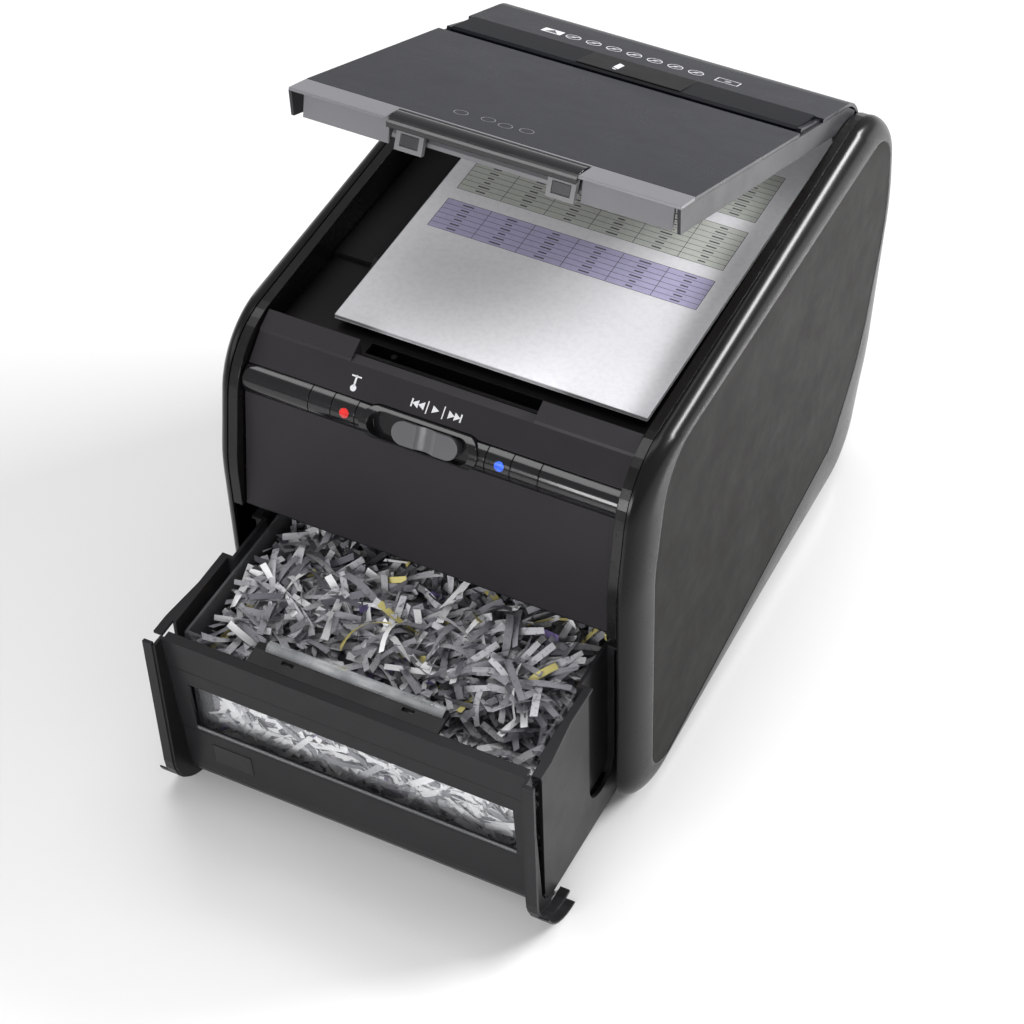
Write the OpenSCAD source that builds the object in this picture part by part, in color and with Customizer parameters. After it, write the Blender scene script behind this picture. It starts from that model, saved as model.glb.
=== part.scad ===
// Automatic-feed cross-cut paper shredder with a tilting lid and a pull-out shred bin.
// Millimetres. X runs across the machine, Y runs from front to back, Z is up from the floor.
// Inside the modules Y is counted from the front edge of the side shells; place() then
// moves everything so that the origin is on the floor under the middle of the whole object.

/* [Body] */
// Half of the width over both side shells
shell_x = 145; // [141:1:150]
// Inner face of each side shell, from the middle plane
shell_in_x = 133.2; // [133.2:0.1:134]
// Wall thickness of the side shells
shell_wall = 2.6; // [2:0.2:3.2]
// Half width of the front panel, the control fascia and the lid
front_half = 125.3; // [124.8:0.1:125.5]
// Height of the lower edge of the front panel
panel_bottom = 170; // [166:1:176]
// Wall thickness of the moulded panels
wall = 2.5; // [2:0.1:3]

/* [Lid] */
// Angle by which the lid stands open in the rest position
lid_open = 25.5; // [0:0.5:30]
// Distance of the hinge axis behind the front edge
hinge_y = 371; // [370:1:372]
// Height of the hinge axis
hinge_z = 267; // [266:1:268]
// Slope of the closed lid towards the back
lid_slope = 3; // [2.5:0.1:3.5]

/* [Bin drawer] */
// Distance by which the drawer is pulled out in the rest position
drawer_out = 108; // [0:1:120]
// Height of the top edge of the drawer
drawer_top = 149; // [145:1:151]
// Half width over the drawer's side walls
drawer_half = 126; // [125:0.1:126]
// Distance of the drawer's back wall behind the front edge when shut
drawer_back = 325; // [300:1:328]

/* [Cutter head] */
// Distance between the two cutter shafts
shaft_gap = 30; // [30:1:30]
// Radius of the cutter discs
disc_r = 17.2; // [16.5:0.1:17.4]
// Radius of the cutter shafts
shaft_r = 6; // [5:0.5:6]
// Radial running clearance of a shaft in its bush
run = 0.05; // [0.02:0.01:0.1]
// Pitch of the discs along a shaft
disc_pitch = 10; // [10:1:10]

/* [Controls] */
// Middle of the control cluster, from the middle plane
cluster_x = -4.5; // [-5:0.5:-4]
// Length of the sliding switch knob
knob_l = 44; // [40:1:46]
// Middle of the knob at rest, from the middle plane
knob_x = -0.5; // [-2:0.5:0]

/* [Hidden] */
$fn = 48;

// Corners of the side profile: distance back, height, corner radius
PROFILE = [[0, 2, 36], [0, 205, 120], [17, 292, 50], [397, 314, 62],
           [411, 215, 150], [394, 75, 150], [374, 2, 45]];
// Corners of the inset panel in the side shell, in the same order
INSET = [[28, 12, 22], [28, 205, 90], [46, 283, 40], [388, 290, 32],
         [395, 215, 150], [362, 110, 150], [318, 58, 26]];
ARC_STEPS = 10;

trim_x0 = 126.3;          // inner face of the edge trim
frame_x0 = 129.2;         // inner face of the side frame's plate
frame_x1 = 132.6;         // outer face of the side frame
shell_depth = shell_x - shell_in_x;
wing_front = -1.5;        // front of the drawer's wings when shut

bar_r = 10;               // radius of the half-round control bar
bar_y = 25.2;             // axis of the control bar
bar_z = 260.9;

tray_z = 275;             // top of the paper tray
chamber_z = 262;          // the side frames are thick above this height
tray_front = 71;
tray_rear = 356;
slot_y = 248;             // middle of the feed slot
roller_y = 222;
roller_z = 265.5;
roller_r = 11;

cut_z = 205;              // height of the cutter shafts
front_cut_y = slot_y - shaft_gap / 2;
rear_cut_y = slot_y + shaft_gap / 2;
plate_x0 = 102;           // cutter side plates
plate_x1 = 105;
disc_t = 4.6;
drum_r = 12;
disc_count = 20;
idler_y = 299;            // reduction gear axis
idler_z = 220;
motor_y = 335;            // motor axis
motor_z = 220;
motor_r = 27;
feed_idler_y = front_cut_y + 33.75 * (roller_y - front_cut_y) / 61.49;
feed_idler_z = cut_z + 33.75 * (roller_z - cut_z) / 61.49;
plane_c = -107;           // outer ends of the three gear planes, from the middle plane
plane_a = -112.5;
plane_b = -118;
gear_w = 4;
idler_angle = atan2(idler_z - cut_z, idler_y - rear_cut_y);
feed_angle = atan2(roller_z - cut_z, roller_y - front_cut_y);
// The feed idler has a gap where the nearest tooth of the front sync gear meets it
front_tooth = round(feed_angle / 18) * 18;
idler_phase = feed_angle + 180 + 7.2 + (feed_angle - front_tooth) * 20 / 25;
// How far the idler's nearest tooth is past the line to the feed shaft
far_tooth = (idler_phase - feed_angle) - round((idler_phase - feed_angle) / 14.4) * 14.4;
feed_phase = feed_angle + 180 + 15 - far_tooth * 25 / 12;

nose_y = 56;              // front lip of the closed lid
nose_z = 293.6;
bend_y = 76.5;            // line where the nose meets the flat panel
bend_z = 295.76;
panel_end_y = 245;        // the manual slot starts here
bar_start_y = 252.5;      // the raised slot bar starts here
hood_start_y = 288;
hood_bend_y = 338;
skirt_depth = 18;         // of the nose; the side skirts are 3 lower at the back end
skirt_t = 2;
handle_x0 = -62;          // cut-out for the handle plate
handle_x1 = 62;
tab_w = 18;
tab_x = -56;              // left edges of the two latch tabs
tab_x2 = 41.5;
tray_half = 126.25;
rocker_y = 386.5;         // axis of the power rocker

// ---- helpers ----
function unit(v) = v / norm(v);
function xy(p) = [p[0], p[1]];
// Arc that rounds the corner b between a and c
function corner_arc(a, b, c, r) =
  let (u = unit(a - b), v = unit(c - b), half = acos(u * v) / 2,
       o = b + unit(u + v) * r / sin(half), p = b + u * r / tan(half), q = b + v * r / tan(half),
       a0 = atan2(p[1] - o[1], p[0] - o[0]), a1 = atan2(q[1] - o[1], q[0] - o[0]),
       turn = a1 - a0 > 180 ? a1 - a0 - 360 : (a1 - a0 < -180 ? a1 - a0 + 360 : a1 - a0))
  [for (i = [0:ARC_STEPS]) o + r * [cos(a0 + turn * i / ARC_STEPS), sin(a0 + turn * i / ARC_STEPS)]];
function rounded(c) =
  [for (i = [0:len(c) - 1])
    let (k = len(c), a = c[(i + k - 1) % k], b = c[i], d = c[(i + 1) % k])
    each (b[2] > 0 ? corner_arc(xy(a), xy(b), xy(d), b[2]) : [xy(b)])];
function mix(a, b, t) = [for (i = [0:len(a) - 1]) a[i] * (1 - t) + b[i] * t];
function lid_z(y) = bend_z + (y - bend_y) * tan(lid_slope);
profile_pts = rounded(PROFILE);
// Middle of the whole object between the shells' backs and the wings' fronts
y_mid = (max([for (p = profile_pts) p[0]]) + wing_front - drawer_out) / 2;
inset_pts = rounded(INSET);

module place() translate([0, -y_mid, 0]) children();
// Extrudes a (y, z) outline across the machine
module along_x(x0, x1) translate([x0, 0, 0]) rotate([90, 0, 90]) linear_extrude(x1 - x0) children();
module rod_x(x0, x1, y, z, r) translate([x0, y, z]) rotate([0, 90, 0]) cylinder(h = x1 - x0, r = r);
module rod_y(x, y0, y1, z, r) translate([x, y0, z]) rotate([-90, 0, 0]) cylinder(h = y1 - y0, r = r);
module box(x0, x1, y0, y1, z0, z1) translate([x0, y0, z0]) cube([x1 - x0, y1 - y0, z1 - z0]);
module both_sides() { children(); mirror([1, 0, 0]) children(); }
// Turns a closed lid part to the rest position
module lid_pose() place() translate([0, hinge_y, hinge_z]) rotate([-lid_open, 0, 0])
  translate([0, -hinge_y, -hinge_z]) children();
module drawer_pose() place() translate([0, -drawer_out, 0]) children();
// Shell profile brought in by d all round
module profile_in(d) offset(delta = -d) polygon(profile_pts);

// Spur gear along X, with a tooth at the angle phase from +Y towards +Z
module gear(x0, y, z, teeth, m, w, bore, phase) {
  pitch = 360 / teeth;
  r = teeth * m / 2;
  root = r - 1.2 * m;
  tip = r + 0.95 * m;
  pts = [for (i = [0:teeth - 1]) let (a = phase + i * pitch)
    each [root * [cos(a - 0.3 * pitch), sin(a - 0.3 * pitch)],
          tip * [cos(a - 0.12 * pitch), sin(a - 0.12 * pitch)],
          tip * [cos(a + 0.12 * pitch), sin(a + 0.12 * pitch)],
          root * [cos(a + 0.3 * pitch), sin(a + 0.3 * pitch)]]];
  along_x(x0, x0 + w) translate([y, z]) difference() {
    polygon(pts);
    circle(r = bore);
  }
}

// ---- chassis ----
module base_plate() color("#26262a") place() difference() {
  union() {
    box(-frame_x0, frame_x0, 45, 362, 3.5, 6);
    both_sides() box(frame_x0 - 2.8, frame_x0, 85, 362, 6, 14);
    box(-frame_x0, frame_x0, 359.5, 362, 6, 14);
  }
  for (y = [120:40:320], x = [-70, 0, 70]) box(x - 22, x + 22, y - 6, y + 6, 3, 7);
}

module feet() color("#151515") place()
  for (x = [-112, 112], y = [60, 338]) translate([x, y, 0]) cylinder(h = 3.5, r = 9);

// Inner side wall with the edge trim that shows between the front and the shell
module side_frame() {
  union() {
    along_x(frame_x0, frame_x1) difference() {
      profile_in(2);
      translate([-10, -10]) square([82, 10 + panel_bottom]);
      translate([60, 30]) square([14, 90]);
    }
    along_x(trim_x0, frame_x1) intersection() {
      difference() {
        profile_in(0.4);
        intersection() {
          profile_in(9);
          square([420, chamber_z]);
        }
      }
      translate([-5, panel_bottom]) square([390, 200]);
    }
    rod_x(trim_x0, frame_x0, hinge_y, hinge_z, 12);
  }
}
module side_frame_hole() rod_x(trim_x0 - 8, frame_x1 + 1, hinge_y, hinge_z, 5);
module side_frame_right() color("#303034") place() difference() {
  side_frame();
  side_frame_hole();
}
module side_frame_left() color("#303034") place() mirror([1, 0, 0]) difference() {
  side_frame();
  side_frame_hole();
}

// Domed side shell: quarter-ellipse shoulders between the profile and the inset panel
module shell_levels(d, depth) hull() for (k = [0:5]) {
  a = 15 * k + 15 * k / 5;
  translate([shell_in_x - 0.05 + depth * sin(a), 0, 0]) rotate([90, 0, 90]) linear_extrude(0.05)
    offset(delta = -d) polygon(mix(profile_pts, inset_pts, 1 - cos(a)));
}
module side_shell() difference() {
  shell_levels(0, shell_depth);
  translate([-0.6, 0, 0]) shell_levels(shell_wall, shell_depth - 4);
  along_x(shell_x - 2, shell_x + 1) polygon(inset_pts);
}
module side_shell_right() color("#2b2b2f") place() side_shell();
module side_shell_left() color("#2b2b2f") place() mirror([1, 0, 0]) side_shell();

module inset_panel() along_x(shell_x - 1.9, shell_x - 0.3) offset(delta = -0.9) polygon(inset_pts);
module inset_panel_right() color("#2d2d2f") place() inset_panel();
module inset_panel_left() color("#2d2d2f") place() mirror([1, 0, 0]) inset_panel();

module front_panel() color("#37373b") place() difference() {
  union() {
    along_x(-front_half, front_half) polygon([[17.4, 254], [4, panel_bottom], [4 + wall, panel_bottom],
      [8, 173], [19.9, 252], [32, 252], [32, 254]]);
    both_sides() along_x(front_half - 2, trim_x0 - 0.02)
      polygon([[7.5, 173], [30, 173], [30, 252.5], [19.8, 252.5]]);
  }
  switch_slot(39.9, 10.9, 1.7);
}

// Sloped top of the front with two raised ledges and a lower lip between them
module control_fascia() color("#2f2f33") place() difference() {
  union() {
    along_x(-front_half, front_half)
      polygon([[25, 271.3], [39.9, 284.5], [46, 286], [46, 283.4], [39, 281.6], [32, 268], [32, 254.3],
               [29.5, 254.3], [29.5, 271.3]]);
    for (s = [[-front_half, -62], [60, front_half]])
      along_x(s[0], s[1]) polygon([[39.9, 284.5], [41, 286.4], [52.6, 292], [52.6, 279], [39, 279]]);
    both_sides() along_x(front_half - 2, trim_x0 - 0.02)
      polygon([[31, 256], [50, 256], [50, 286], [42, 283]]);
  }
  switch_slot(39.9, 10.9, 1.7);
}

// Half-round bar in separate glossy lengths, left and right of the switch
module bar_section() difference() {
  translate([bar_y, bar_z]) circle(r = bar_r);
  translate([29.3, 240]) square([20, 40]);
  translate([0, 240]) square([40, 14.2]);
  translate([24.9, 270.7]) square([10, 4]);
}
module bar_segments() color("#3a3c40") place() difference() {
  for (s = [[-front_half, -80], [-79.4, -64.6], [-64, -48.2],
            [39.6, 55.6], [56.2, 74], [74.6, front_half]])
    along_x(s[0], s[1]) bar_section();
  for (x = [-54.8, 49]) translate([x, bar_y, bar_z]) rotate([64, 0, 0]) cylinder(h = 12, r = 3.2);
}

// Part of the bar that carries the switch pocket
module slider_bezel() color("#242428") place() difference() {
  union() {
    along_x(-47.6, 39) bar_section();
    intersection() {
      switch_slot(39.5, 10.6, 2);
      rod_x(-50, 50, bar_y, bar_z, 12.2);
    }
  }
  switch_slot(34, 8.6, 3.4);
}
// Obround sunk into the bar, half length l, half height h, bottom at depth d from the bar's axis
module switch_slot(l, h, d) translate([cluster_x, bar_y, bar_z]) rotate([64, 0, 0])
  translate([0, 0, d]) linear_extrude(12) {
    square([2 * (l - h), 2 * h], center = true);
    for (s = [-1, 1]) translate([s * (l - h), 0]) circle(r = h);
  }

module lens(x) translate([x, bar_y, bar_z]) rotate([64, 0, 0]) cylinder(h = bar_r + 0.6, r = 3.15);
module red_lens() color("#c01818") place() intersection() {
  lens(-54.8);
  rod_x(-70, 70, bar_y, bar_z, bar_r + 0.4);
}
module blue_lens() color("#2060d0") place() intersection() {
  lens(49);
  rod_x(-70, 70, bar_y, bar_z, bar_r + 0.4);
}

// Bed that the paper lies on, with a deeper trough at the front for the lid's tabs
module paper_tray() color("#202024") place() difference() {
  union() {
    box(-tray_half, tray_half, tray_front, tray_rear, tray_z - wall, tray_z);
    box(-tray_half, tray_half, 53, tray_front, chamber_z, chamber_z + wall);
    box(-tray_half, tray_half, tray_front - wall, tray_front, chamber_z, tray_z);
    box(-tray_half, tray_half, 53, 53 + wall, chamber_z, 279);
    box(-tray_half, -64, 53, tray_front, tray_z - wall, tray_z);
    box(61, tray_half, 53, tray_front, tray_z - wall, tray_z);
    for (y = [95, 140, 185, 300, 330]) box(-120, 120, y, y + wall, tray_z - 9, tray_z - wall);
  }
  box(-108, 108, slot_y - 5, slot_y + 5, 260, 280);
  for (x = [-75, -25, 25, 75]) box(x - 11, x + 11, roller_y - 12, roller_y + 12, 260, 280);
  box(-118, -105.5, roller_y - 12, roller_y + 12, 260, 280);
  translate([tab_x + tab_w / 2, 64.3, 260]) cylinder(h = 8, r = 2.2);
  both_sides() box(118, 128, 344, 360, 255, 280);
}

// Raised rail at the left of the paper, hollow over the feed gear
module paper_guide() color("#1c1c20") place() difference() {
  union() {
    box(-125.5, -98, 130, 340, tray_z, tray_z + 3.5);
    along_x(-98, -95) polygon([[120, tray_z], [132, tray_z + 7], [338, tray_z + 7], [346, tray_z]]);
  }
  box(-118.5, -105, roller_y - 12.5, roller_y + 12.5, 270, tray_z + 2);
}

// Curved back with a short deck over the cutter head
module back_cover() color("#26262a") place() difference() {
  union() {
    along_x(-128.8, 128.8) intersection() {
      difference() {
        profile_in(3.2);
        profile_in(3.2 + wall);
      }
      translate([352, 14.5]) square([80, 267]);
    }
    box(-115, 115, 356.5, 392.6, 279, 279 + wall);
    box(-115, 115, 356.5, 356.5 + wall, 262, 279);
  }
  for (i = [0:6], x = [-70, 0, 70]) box(x - 26, x + 26, 380, 412, 176 + 11 * i, 181 + 11 * i);
  rod_y(96, 360, 420, 66, 11.05);
  box(53.95, 79.05, 360, 420, 53.95, 86.05);
  for (x = [-116, 116], z = [30, 110]) rod_y(x, 360, 420, z, 3.25);
}

module shred_chute() color("#202024") place() difference() {
  union() {
    box(-frame_x0 + 0.05, frame_x0 - 0.05, 9, 368, 163, 165);
    for (y = [212.2, 281.5]) box(-101.5, 101.5, y, y + 2, 165, 190);
  }
  box(-100, 100, 216, 280, 160, 170);
}

module plate_outline(y0, y1) union() {
  translate([y0, 168]) square([y1 - y0, 90]);
  translate([roller_y - 10, 240]) square([20, 31.5]);
}
module shaft_holes(r) {
  translate([front_cut_y, cut_z]) circle(r = r);
  translate([rear_cut_y, cut_z]) circle(r = r);
}
module cutter_plate_left() color("#9a9a9e") place() along_x(-plate_x1, -plate_x0) difference() {
  plate_outline(202, 366);
  shaft_holes(9);
  translate([roller_y, roller_z]) circle(r = 5.5);
  translate([idler_y, idler_z]) circle(r = 3);
  translate([feed_idler_y, feed_idler_z]) circle(r = 3);
  translate([motor_y, motor_z]) circle(r = 8);
}
module cutter_plate_right() color("#9a9a9e") place() along_x(plate_x0, plate_x1) difference() {
  plate_outline(202, 294);
  shaft_holes(9);
  translate([roller_y, roller_z]) circle(r = 5.5);
}

// Bearing bushes of both cutter shafts and of the feed shaft
module bush(x0, x1, y, z, ro, ri) difference() {
  rod_x(x0, x1, y, z, ro);
  rod_x(x0 - 1, x1 + 1, y, z, ri);
}
module cutter_bushes() color("#b8925a") place() both_sides() {
  for (y = [front_cut_y, rear_cut_y]) bush(plate_x0, plate_x1, y, cut_z, 9, shaft_r + run);
  bush(plate_x0, plate_x1, roller_y, roller_z, 5.5, 4 + run);
}

// Spacer rods between the cutter plates, and the pins that the two loose gears run on
module rods_and_pins() color("#b0b0b4") place() {
  for (p = [[208, 252], [208, 176], [288, 176], [288, 252]]) rod_x(-plate_x0, plate_x0, p[0], p[1], 3.5);
  rod_x(-124, -plate_x0, idler_y, idler_z, 3);
  rod_x(-118, -plate_x0, feed_idler_y, feed_idler_z, 3);
}

// Fingers that lift the shreds out between the discs
module front_stripper() color("#8c8c90") place() {
  box(-100, 100, 203.5, 206.5, 194, 216);
  for (i = [0:disc_count - 1]) box(finger_x(i), finger_x(i) + 3, 206, front_cut_y - 12.5, 200, 212);
}
module rear_stripper() color("#8c8c90") place() {
  box(-100, 100, 289.5, 292.5, 194, 216);
  for (i = [0:disc_count - 2])
    box(finger_x(i) + 5, finger_x(i) + 8, rear_cut_y + 12.5, 290, 200, 212);
}
function disc_x(i) = -97 + i * disc_pitch;
function finger_x(i) = disc_x(i) + disc_t + 1.2;

module motor_body() color("#6b6b70") place() difference() {
  union() {
    rod_x(-99, -32, motor_y, motor_z, motor_r);
    rod_x(-plate_x0, -99, motor_y, motor_z, 15);
    rod_x(-32, -26, motor_y, motor_z, 9);
    rod_x(-plate_x1, -plate_x0, motor_y, motor_z, 8);
  }
  rod_x(-110, -80, motor_y, motor_z, 2.5 + run);
}

module circuit_board() color("#2c6b3a") place() union() {
  box(112, 113.6, 230, 350, 178, 250);
  box(104, 112, 300, 322, 186, 206);
  for (z = [190, 212, 234]) box(107, 112, 238, 254, z, z + 9);
  rod_x(100, 112, 338, 232, 7);
}

// Round grommet where the supply lead enters the back
module inlet_gland() color("#18181a") place() difference() {
  union() {
    rod_y(96, 374, 384, 66, 8);
    rod_y(96, 383, 392.5, 66, 11);
  }
  rod_y(96, 370, 396, 66, 3.6);
}

module switch_bezel() color("#1a1a1c") place() difference() {
  box(54, 79, 372, 394, 54, 86);
  box(58.5, 74.5, 376, 400, 58.5, 81.5);
  rod_x(56.4, 76.6, rocker_y, 70, 1.55);
}

module drawer_switch() color("#202022") place() difference() {
  box(92, 112, 334, 350, 137, 163);
  rod_y(102, 330, 344, 143.5, 2.35);
}
// Button whose tip stands just behind the drawer's back when the drawer is home
module drawer_plunger() color("#e6e6e2") place() rod_y(102, 325.4, 340, 143.5, 2.3);
module lid_switch() color("#202022") place() difference() {
  box(tab_x, tab_x + tab_w, 56, 68.4, 246, 262);
  translate([tab_x + tab_w / 2, 64.3, 251]) cylinder(h = 20, r = 2.05);
}
// Button whose tip stands just under the lid's left tab when the lid is shut
module lid_plunger() color("#e6e6e2") place()
  translate([tab_x + tab_w / 2, 64.3, 254.6]) cylinder(h = 19.6, r = 2);

module hinge_pins() color("#b4b4b8") place() both_sides() {
  rod_x(113, frame_x1, hinge_y, hinge_z, 5);
  rod_x(110, 113, hinge_y, hinge_z, 7.5);
}

// Runners under the drawer and guide strips beside it, one of each at both sides
module drawer_rails() color("#3a3a3e") place() both_sides() {
  box(105, 108, 90, 340, 6, 8.4);
  box(frame_x0 - 2.9, frame_x0, 100, 330, 100, 106);
}

module frame_screws() color("#a8a8ac") place() {
  both_sides() for (y = [110, 330]) translate([119, y, 6]) cylinder(h = 1.8, r = 3.2);
  for (x = [-116, 116], z = [30, 110])
    rod_y(x, z == 30 ? 372 : 390, z == 30 ? 379 : 396.2, z, 3.2);
}

// ---- lid ----
module lid_panel() color("#2b2c30") lid_pose() difference() {
  along_x(-front_half, front_half) polygon([[bend_y, bend_z], [bend_y, bend_z - wall],
    [panel_end_y, lid_z(panel_end_y) - wall], [panel_end_y, lid_z(panel_end_y)]]);
}

// Sloped nose with the front skirt; the handle plate sits in its cut-out
module lid_nose() color("#303136") lid_pose() difference() {
  union() {
    along_x(-front_half, front_half)
      polygon([[nose_y, nose_z], [nose_y, nose_z - 1.8], [bend_y - 0.3, bend_z - wall],
               [bend_y - 0.3, bend_z - 0.1]]);
    for (s = [[-119, handle_x0], [handle_x1, 119]]) along_x(s[0], s[1])
      polygon([[63, nose_z + 0.3], [65.2, nose_z + 0.3], [68.6, 276], [66.8, 275.5]]);
    along_x(handle_x0 + 0.4, handle_x1 - 0.4)
      polygon([[74, 294], [76, 294.4], [76, 287], [70.6, 279.5], [68.6, 279.5], [68.6, 282], [74, 288.6]]);
  }
  box(handle_x0, handle_x1, 50, bend_y - 2.3, 289.2, 300);
}

// Side skirts, cross ribs and the two hinge arms
module lid_frame() color("#26272b") lid_pose() difference() {
  union() {
    both_sides() along_x(front_half - skirt_t, front_half) polygon([[nose_y, nose_z - 1.9],
      [nose_y + 8, nose_z - skirt_depth], [340, lid_z(340) - skirt_depth + 3 - wall],
      [352, 296], [352, 302.3], [336, lid_z(336) - wall - 0.2], [bend_y, bend_z - wall - 0.1]]);
    both_sides() along_x(119, 123.4) hull() {
      translate([hinge_y, hinge_z]) circle(r = 9);
      translate([330, lid_z(330) - wall - 8]) circle(r = 7);
    }
    for (y = [100, 238, 256, 320])
      along_x(-123.4, 123.4) polygon([[y, lid_z(y) - wall - 0.05], [y + 2, lid_z(y + 2) - wall - 0.05],
        [y + 2, lid_z(y) - wall - 9], [y, lid_z(y) - wall - 9]]);
    along_x(118.6, 121.6) polygon([[156, lid_z(156) - wall], [156, lid_z(156) - 15], [158, lid_z(158) - 21],
      for (k = [0:6]) each [[160 + 6 * k, lid_z(158) - 21], [163 + 6 * k, lid_z(158) - 17.5]],
      [204, lid_z(158) - 15], [206, lid_z(206) - wall]]);
  }
  both_sides() rod_x(118, 124, hinge_y, hinge_z, 5 + run);
}

// Full glossy bar that fills the cut-out of the nose, crowned on top
module handle_plate() color("#202226") lid_pose() along_x(handle_x0 + 1.2, handle_x1 - 1.2)
  polygon(concat([for (k = [0:10]) handle_point(k / 10, 0)], [for (k = [10:-1:0]) handle_point(k / 10, 3)]));
function handle_point(t, d) = [nose_y + 0.8 + 17.2 * t + d * 0.3,
  nose_z - 0.9 + 2.2 * t + 1.5 * sin(180 * t) - 2.2 * pow(1 - t, 3) - d];

module latch_tabs() color("#3a3b40") lid_pose() for (x = [tab_x, tab_x2]) difference() {
  box(x, x + tab_w, 62.4, 66.2, 274.6, 291.6);
  box(x + 3, x + tab_w - 3, 60, 63.4, 277.4, 285);
}
module slot_bar() color("#3c3e44") lid_pose() along_x(-120, 120) polygon([
  [bar_start_y, lid_z(bar_start_y) - wall], [bar_start_y, lid_z(bar_start_y) - 0.6],
  [bar_start_y + 2, lid_z(bar_start_y) + 1], [285, lid_z(285) + 1.6], [286.6, lid_z(287) + 0.4],
  [286.6, lid_z(287) - wall]]);

// Rear part of the lid, rolled down over the hinge
function hood_curve(d) = [for (k = [0:8]) let (a = 93 - k * 7.5, r = 37 - d)
  [hood_bend_y - 2 + r * cos(a), lid_z(hood_bend_y) - 37 + r * sin(a)]];
module rear_hood() color("#2a2b2f") lid_pose() union() {
  along_x(-front_half, front_half) polygon(concat(
    [[hood_start_y, lid_z(hood_start_y) - wall], [hood_start_y, lid_z(hood_start_y)]],
    hood_curve(0), [for (k = [8:-1:0]) hood_curve(wall)[k]]));
  both_sides() box(120.1, 123.2, bar_start_y, hood_start_y + 3, lid_z(270) - wall - 0.6, lid_z(270) - 0.4);
}

// Sprung plate that presses the paper on the feed rollers
module pressure_plate() color("#55565c") lid_pose() union() {
  along_x(-70, 80) polygon([[196, 288.4], [198, 287.6], [230, 287.6], [233, 289], [233, 290.4], [196, 290.4]]);
  for (x = [-50, 60]) translate([x, 215, 290]) cylinder(h = 6, r = 3);
}

// ---- cutter head, moving parts ----
module front_cutter_shaft() color("#b9b9bd") place()
  rod_x(-117.2, 108, front_cut_y, cut_z, shaft_r);
module rear_cutter_shaft() color("#b9b9bd") place()
  rod_x(-123, 108, rear_cut_y, cut_z, shaft_r);

// Disc with three hooked teeth
module disc_shape() difference() {
  circle(r = disc_r);
  for (a = [0, 120, 240]) rotate(a) translate([disc_r - 2.6, 0]) rotate(-35) square([7, 7]);
}
// Drum with its discs turned a little further at each place along the shaft
module drum(x0, count, y, step) difference() {
  union() {
    rod_x(x0 + 0.5, x0 + (count - 1) * disc_pitch + disc_t - 0.5, y, cut_z, drum_r);
    for (i = [0:count - 1])
      along_x(x0 + i * disc_pitch, x0 + i * disc_pitch + disc_t) translate([y, cut_z])
        rotate(5 + step * i) disc_shape();
  }
  rod_x(x0 - 1, x0 + count * disc_pitch, y, cut_z, shaft_r);
}
module front_cutter_discs() color("#8f9094") place() drum(disc_x(0), disc_count, front_cut_y, 9);
module rear_cutter_discs() color("#8f9094") place()
  drum(disc_x(0) + disc_pitch / 2, disc_count - 1, rear_cut_y, -9);

module front_sync_gear() color("#c8c8cc") place()
  gear(plane_a - gear_w, front_cut_y, cut_z, 20, 1.5, gear_w, shaft_r, 0);
// Sync gear that meshes with the front shaft, and the large gear that the motor drives
module rear_drive_gears() color("#c8c8cc") place() {
  gear(plane_a - gear_w, rear_cut_y, cut_z, 20, 1.5, gear_w, shaft_r, 9);
  gear(plane_b - gear_w, rear_cut_y, cut_z, 40, 1.5, gear_w, shaft_r, idler_angle);
}

module reduction_gear() color("#e4e2da") place() union() {
  gear(plane_b - gear_w, idler_y, idler_z, 12, 1.5, gear_w, 3 + run, idler_angle + 180 + 15);
  gear(plane_c - gear_w, idler_y, idler_z, 60, 1, gear_w, 3 + run, 0);
  bush(plane_b, plane_c - gear_w, idler_y, idler_z, 7, 3 + run);
}
module motor_pinion() color("#d0d0d4") place() union() {
  gear(plane_c - gear_w, motor_y, motor_z, 12, 1, gear_w, 2, 15);
  rod_x(-111.5, -84, motor_y, motor_z, 2.5);
}
module feed_idler() color("#e4e2da") place()
  gear(plane_a - gear_w, feed_idler_y, feed_idler_z, 25, 1.5, gear_w, 3 + run, idler_phase);

module feed_shaft() color("#b9b9bd") place() union() {
  rod_x(-117, 108, roller_y, roller_z, 4);
  gear(plane_a - gear_w, roller_y, roller_z, 12, 1.5, gear_w, 3.5, feed_phase);
}
module feed_rollers() color("#3c3c3c") place() for (x = [-75, -25, 25, 75])
  bush(x - 9, x + 9, roller_y, roller_z, roller_r, 4);

// ---- bin drawer, drawn shut ----
front_top = [6.5, drawer_top];      // front face: top and bottom of its leaning plane
front_foot = [15.6, 24];
function front_y(z) = 6.5 + (drawer_top - z) * (15.6 - 6.5) / (drawer_top - 24);

module drawer_box() color("#1e1e22") drawer_pose() difference() {
  union() {
    both_sides() {
      box(drawer_half - wall, drawer_half, 22, drawer_back, 14, drawer_top);
      drawer_flange();
    }
    box(-drawer_half, drawer_half, drawer_back - wall, drawer_back, 14, drawer_top);
    box(-drawer_half, drawer_half, 28, drawer_back, 9, 11.5);
    both_sides() along_x(drawer_half - wall, drawer_half) polygon([[28, 9], [drawer_back, 9],
      [drawer_back, 20], [20.5, 20]]);
    both_sides() box(119, drawer_half - wall + 0.2, 82, 122, 36, drawer_top);
  }
  both_sides() box(121.4, 130, 84.5, 119.5, 50, 160);
  both_sides() rod_x(121.4, 130, 102, 50, 17.5);
  both_sides() along_x(drawer_half - 4, drawer_half + 1) polygon([[0, 0], [0, 200],
    [front_y(200) + 2.2, 200], [front_y(0) + 2.2, 0]]);
}
// Outward flange along the top of each side wall, wide in front and narrow behind
module drawer_flange() translate([0, 0, drawer_top - 2]) linear_extrude(2)
  polygon([[drawer_half - 0.2, 10], [132, 10], [132, 24], [128.7, 56], [128.7, 250], [drawer_half - 0.2, 250]]);

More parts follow.
